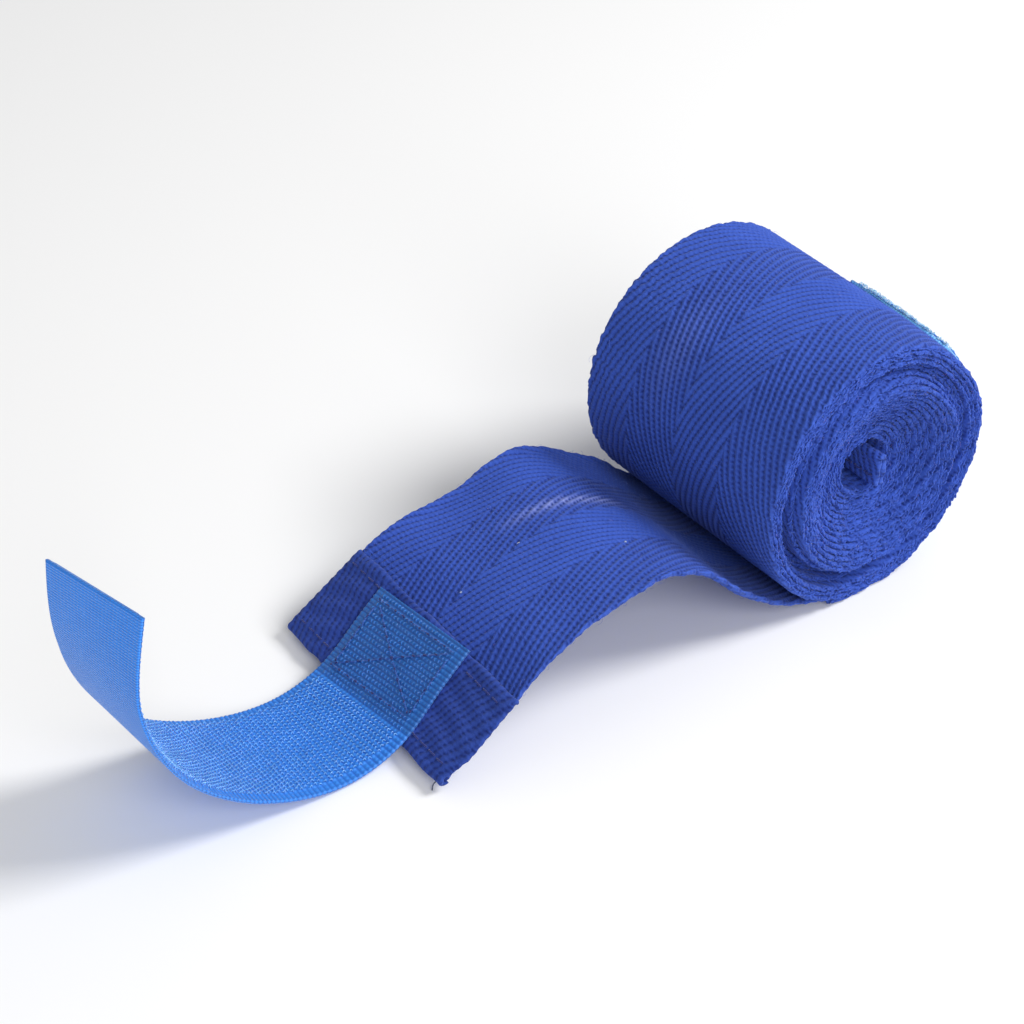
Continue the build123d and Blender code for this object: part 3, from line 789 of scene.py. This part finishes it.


# ---- Hook strap --------------------------------------------------------------------------
# Woven nylon tape, 26 mm wide, bright blue, with the hooks on its upper face. Its end is sewn flat
# on the hem, slightly askew, and the rest runs on along the surface and curls up, stiff enough to
# keep its curl.
STRAP_THICKNESS = 0.75
STRAP_LIFT = HEM_TOP + STRAP_THICKNESS / 2 + 0.05
STRAP_ROUTE = [(-106.4, 2.15, 0.85), (-119.8, 2.7, 3.3), (-131.4, 3.0, 10.1), (-139.6, 3.2, 19.9),
               (-143.9, 4.3, 33.5), (-142.1, 5.8, 49.8)]
PICK_SPACING = 0.95               # from one weft row of the tape to the next
SELVEDGE_WIDTH = 2.0
NARROWED_TIP = 0.06               # share of its width that the curled part has lost to its curl
UNDER_LIGHT_AND_TONE = 1.5                  # the tape's back is paler: partly its own smoother weave, partly painted light shining through it
OVER_HEM_SHADE_AND_SHOW_THROUGH = 0.34              # how much the tape is darkened on the hem: painted shade of its slope, and the dark cloth under it
sewn = hem_place(np.array([-HEM_DEPTH + 0.3, -HEM_DEPTH / 2, -1.0]), np.array([1.2, 0.2, -0.9]), STRAP_LIFT)
strap_line = smooth_route([*sewn, *STRAP_ROUTE], 0.4)
strap_along = distance_along(strap_line)
strap_length = strap_along[-1]
strap_heading = np.radians(np.interp(strap_along, [0, 18, 30, 43, 55, 68, 85, strap_length],
                                     [4.6, 4.4, 3.1, 0.4, -0.8, 0, 0, -4.7]))
strap_tilt = np.radians(np.interp(strap_along, [0, 18, 40, strap_length], [0, -1, 0, 3.5]))
strap_across, strap_up, strap_run = strip_frame(strap_line, strap_heading, strap_tilt)
x, z, _ = cloth_ring(STRAP_WIDTH, STRAP_THICKNESS, 120, 120, 0.3)
upper = (z > 0)[None]
strap_offsets = np.repeat(x[None], len(strap_along), 0)
strap_s = strap_along[:, None] + 0 * strap_offsets
selvedge = np.clip((np.abs(strap_offsets) - (STRAP_WIDTH / 2 - SELVEDGE_WIDTH)) / 0.4, 0, 1)
pick_rows = np.cos(2 * np.pi * strap_s / PICK_SPACING)
strap_relief = (0.05 * selvedge + 0.02) * pick_rows * upper
strap_heights = z[None] + strap_relief - 0.12 * selvedge * upper
strap_offsets = strap_offsets * (1 - NARROWED_TIP * np.clip((strap_s - 50) / 35, 0, 1))
strap_offsets = strap_offsets + np.sign(strap_offsets) * (np.abs(strap_offsets) > 12.7) * 0.06 * pick_rows
on_hem = np.clip((HEM_DEPTH + 0.9 - strap_s) / 0.8, 0, 1)
# Upper face darker on the hem (painted shade), back paler (painted light), each with a real difference.
strap_tone = np.where(upper, 1 - OVER_HEM_SHADE_AND_SHOW_THROUGH * on_hem, UNDER_LIGHT_AND_TONE)
strap_tape = nylon_tape("nylon_tape_bright_blue", "#2b80e0", "#185cba", 0.00012)
strap = sweep("hook_strap_tape", strap_line, strap_across, strap_up, strap_offsets, strap_heights, strap_tape,
              rib=strap_offsets / 0.9, row=np.where(upper, strap_s / PICK_SPACING, strap_s / 0.5),
              tone=strap_tone)
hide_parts("strap_sewn_end", "strap_free_end")
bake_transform(strap)


# ---- Hooks -------------------------------------------------------------------------------
# Rows of cut nylon loops, each a small hook, over all but the tape's two selvedges. On the hem they
# are sewn down and pressed, and the rest stand free.
HOOK_PITCH_ALONG = 0.95
HOOK_PITCH_ACROSS = 0.9
HOOK_MARGIN = 2.2
hook_nylon = fine_filament("nylon_hooks_bright_blue", "#7cbcff", 0.16)
# The hooks on the hem get a darker blue: painted shade of the sloped sewn end, with the dark cloth under the
# thin tape.
shaded_pressed_nylon = fine_filament("nylon_hooks_over_dark_cloth", "#4388de", 0.18)


def strap_place(along, across, lift):
    """Places on the strap's upper face, with their up and their along directions."""
    def at(field):
        return np.stack([np.interp(along, strap_along, field[:, k]) for k in range(3)], -1)
    up = at(strap_up)
    spot = at(strap_line) + at(strap_across) * np.asarray(across)[..., None] + up * (
        STRAP_THICKNESS / 2 + lift)
    return spot, up, at(strap_run)


hem_end = HEM_DEPTH + 0.8
for name, first_row, last_row, nylon, height in (
        ("hooks_pressed_on_the_hem", 1.0, hem_end, shaded_pressed_nylon, 0.3),
        ("hooks_of_the_strap", hem_end + 0.8, strap_length - 0.8, hook_nylon, 0.5)):
    rows = np.arange(first_row, last_row, HOOK_PITCH_ALONG)
    columns = np.arange(HOOK_MARGIN, STRAP_WIDTH - HOOK_MARGIN + 0.01, HOOK_PITCH_ACROSS) - STRAP_WIDTH / 2
    s, a = np.meshgrid(rows, columns, indexing="ij")
    a = a + 0.22 * HOOK_PITCH_ACROSS * ((np.arange(len(rows)) % 2)[:, None] * 2 - 1)
    draw = np.random.default_rng(71)
    spot, up, lie = strap_place((s + draw.uniform(-0.08, 0.08, s.shape)).ravel(), a.ravel(), -0.02)
    hooks = arch_piece(name, spot, lie, up, nylon, Span=0.62 * MM, Height=height * MM,
                       End_height=height * 0.45 * MM, Thickness=0.2 * MM, Stray_angle=0.3, Smallest=0.8,
                       Bends=5, Sides=5, Seed=9)
    if nylon is hook_nylon:
        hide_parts("hook_field")
        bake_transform(hooks)
    else:
        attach(hooks, "tail")


# ---- Strap seam --------------------------------------------------------------------------
# The strap is held by a stitched rectangle with a cross in it, the usual seam for a load. The
# thread pulls down between the hooks, and a small dark arch by each stitch is the painted shade of its needle
# hole.
BOX_HALF = STRAP_WIDTH / 2 - 2.4
BOX_BACK, BOX_FRONT = 1.9, HEM_DEPTH - 1.9


def seam_line(start, end):
    """Stitch places between two points of the sewn part: (along, across), and the unit step."""
    start, end = np.array(start), np.array(end)
    length = np.linalg.norm(end - start)
    count = int(length / STITCH_PITCH) + 1
    step = (end - start) / length
    return [(*(start + (end - start) * ((i + 0.5) / count)), *step) for i in range(count)]


box = []
for down in (BOX_BACK, BOX_FRONT):
    box += seam_line((down, -BOX_HALF), (down, BOX_HALF))
for side in (-BOX_HALF, BOX_HALF):
    box += seam_line((BOX_BACK + 1.3, side), (BOX_FRONT - 1.3, side))
    box += seam_line((BOX_BACK + 0.8, side * 0.94), (BOX_FRONT - 0.8, -side * 0.94))
box = np.array(box)
spot, up, lie = strap_place(box[:, 0], box[:, 1], 0.12)
side_step = np.cross(lie, up)
box_lie = lie * box[:, 2:3] + side_step * box[:, 3:4]
strap_thread = polyester_thread("polyester_thread_blue", "#2a5cb4")
strap_seam = arch_piece("strap_box_and_cross_seam", spot, box_lie, up, strap_thread,
                        **dict(STITCH, Height=0.12 * MM, Thickness=0.26 * MM))
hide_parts("strap_box_stitching")
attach(strap_seam, "tail")
hole_shadow = polyester_thread("needle_hole_shadow_navy", "#0d2470")
needle_hole_shadows = arch_piece(
    "strap_needle_holes", spot + box_lie * 1.25 + up * 0.12, box_lie, up, hole_shadow, Span=0.5 * MM,
    Height=0.1 * MM, End_height=0.0, Thickness=0.42 * MM, Stray_angle=0.4, Smallest=0.75, Bends=3,
    Sides=6, Seed=8)
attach(needle_hole_shadows, "tail")


# ---- Lint --------------------------------------------------------------------------------
# Fine cotton fibres that have worked loose all over the cloth, each held by its other end, and
# three white specks of lint that cling to the tail.
FIBRE = {"Span": 1.7 * MM, "Height": 0.5 * MM, "End_height": 0.35 * MM, "Thickness": 0.035 * MM,
         "Stray_angle": 0.5, "Smallest": 0.35, "Bends": 4, "Sides": 3}
SPECK_PLACES = ((-46, -10, 24), (-60.5, 4, 23), (-74, 3, 18))


def fibres(name, spots, ups, count, seed, material, **sizes_given):
    """Fine fibres lying any way at places picked from a set of spots."""
    draw = np.random.default_rng(seed)
    pick = draw.integers(0, len(spots), count)
    heading = draw.normal(size=(count, 3))
    sizes = {**FIBRE, "Seed": seed, **sizes_given}
    return arch_piece(name, spots[pick], heading, ups[pick], material, **sizes)


def surface_spots(piece, keep):
    """Vertices of a piece in millimetres, with their normals, where a test holds."""
    mesh = piece.data
    spots = np.empty(len(mesh.vertices) * 3)
    mesh.vertices.foreach_get("co", spots)
    spots = spots.reshape(-1, 3) / MM
    normals = np.array([v.vector for v in mesh.vertex_normals])
    kept = keep(spots)
    return spots[kept], normals[kept]


loose_cotton = fine_filament("loose_cotton_fibre_blue", "#5a78d8", 0.8)
roll_spots, roll_normals = surface_spots(outer, lambda v: v[:, 2] > 2)
end_spots, end_normals = surface_spots(wound, lambda v: (v[:, 1] < -19) & (v[:, 2] > 2))
roll_fibres = fibres("loose_fibres_of_roll", np.concatenate([roll_spots[::60], end_spots[::6]]),
                     np.concatenate([roll_normals[::60], end_normals[::6]]), 2600, 111, loose_cotton)
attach(roll_fibres, "roll")
tail_spots, tail_normals = surface_spots(tail, lambda v: (v[:, 2] > 3) & (v[:, 0] < -18))
tail_fibres = fibres("loose_fibres_of_tail", tail_spots, tail_normals, 1500, 112, loose_cotton)
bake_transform(tail_fibres)

near = [int(np.argmin(np.linalg.norm(tail_spots - np.array(place), axis=1)))
        for place in SPECK_PLACES]
white_lint = fine_filament("lint_white", "#e6e9f4", 0.8)
specks = fibres("white_lint_specks", tail_spots[near], tail_normals[near], 14, 113, white_lint, Span=0.8 * MM,
                Height=0.15 * MM, End_height=0.1 * MM, Thickness=0.09 * MM)
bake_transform(specks)


# ---- Stage -------------------------------------------------------------------------------
# The wrap lies on white paper, under a soft studio light from the upper right, with a weaker one
# in front and an even glow all round.
FLOOR_SIZE = 6.0
floor_mesh = bpy.data.meshes.new("floor")
half_floor = FLOOR_SIZE / 2
floor_mesh.from_pydata([(x * half_floor, y * half_floor, 0) for x, y in ((-1, -1), (1, -1), (1, 1), (-1, 1))],
                       [], [(0, 1, 2, 3)])
floor = bpy.data.objects.new("floor", floor_mesh)
bpy.context.scene.collection.objects.link(floor)
# Plain white paper: matte, and bright enough to leave only soft shadows.
paper, paper_tree = new_material("paper_backdrop_white")
paper_face = add(paper_tree, "ShaderNodeBsdfPrincipled", {"Base Color": linear("#f4f4f4"), "Roughness": 0.9})
add(paper_tree, "ShaderNodeOutputMaterial", {"Surface": paper_face.outputs["BSDF"]})
floor_mesh.materials.append(paper)
floor.location.z = -0.0001

world = bpy.data.worlds.new("studio")
bpy.context.scene.world = world
world.use_nodes = True
world.node_tree.nodes.clear()
sky = add(world.node_tree, "ShaderNodeBackground", {"Color": linear("#ffffff"), "Strength": 0.42})
add(world.node_tree, "ShaderNodeOutputWorld", {"Surface": sky.outputs["Background"]})


def lamp(name, place, size, power):
    """A square soft light, aimed at the origin."""
    light = bpy.data.lights.new(name, "AREA")
    light.size = size
    light.energy = power
    made = bpy.data.objects.new(name, light)
    bpy.context.scene.collection.objects.link(made)
    made.location = place
    aim = -np.array(place) / np.linalg.norm(place)
    made.rotation_euler = (math.acos(-aim[2]), 0, math.atan2(-aim[0], aim[1]))
    return made


lamp("key_light", (0.6, -0.4, 0.75), 0.35, 8.4)
lamp("fill_light", (-0.3, -0.85, 0.6), 0.6, 5.4)

bpy.context.scene.view_settings.view_transform = "Standard"
AZIMUTH, ELEVATION = math.radians(-37.5), math.radians(37.0)
TARGET = (-0.03785, 0.0342, 0.0)
DISTANCE = 0.4994
LENS = 89.9
camera_data = bpy.data.cameras.new("camera")
camera_data.lens = LENS
camera_data.sensor_width = 36
camera = bpy.data.objects.new("camera", camera_data)
bpy.context.scene.collection.objects.link(camera)
back = (math.sin(AZIMUTH) * math.cos(ELEVATION), -math.cos(AZIMUTH) * math.cos(ELEVATION),
        math.sin(ELEVATION))
camera.location = [t + DISTANCE * b for t, b in zip(TARGET, back)]
camera.rotation_euler = (math.pi / 2 - ELEVATION, 0, AZIMUTH)
bpy.context.scene.camera = camera
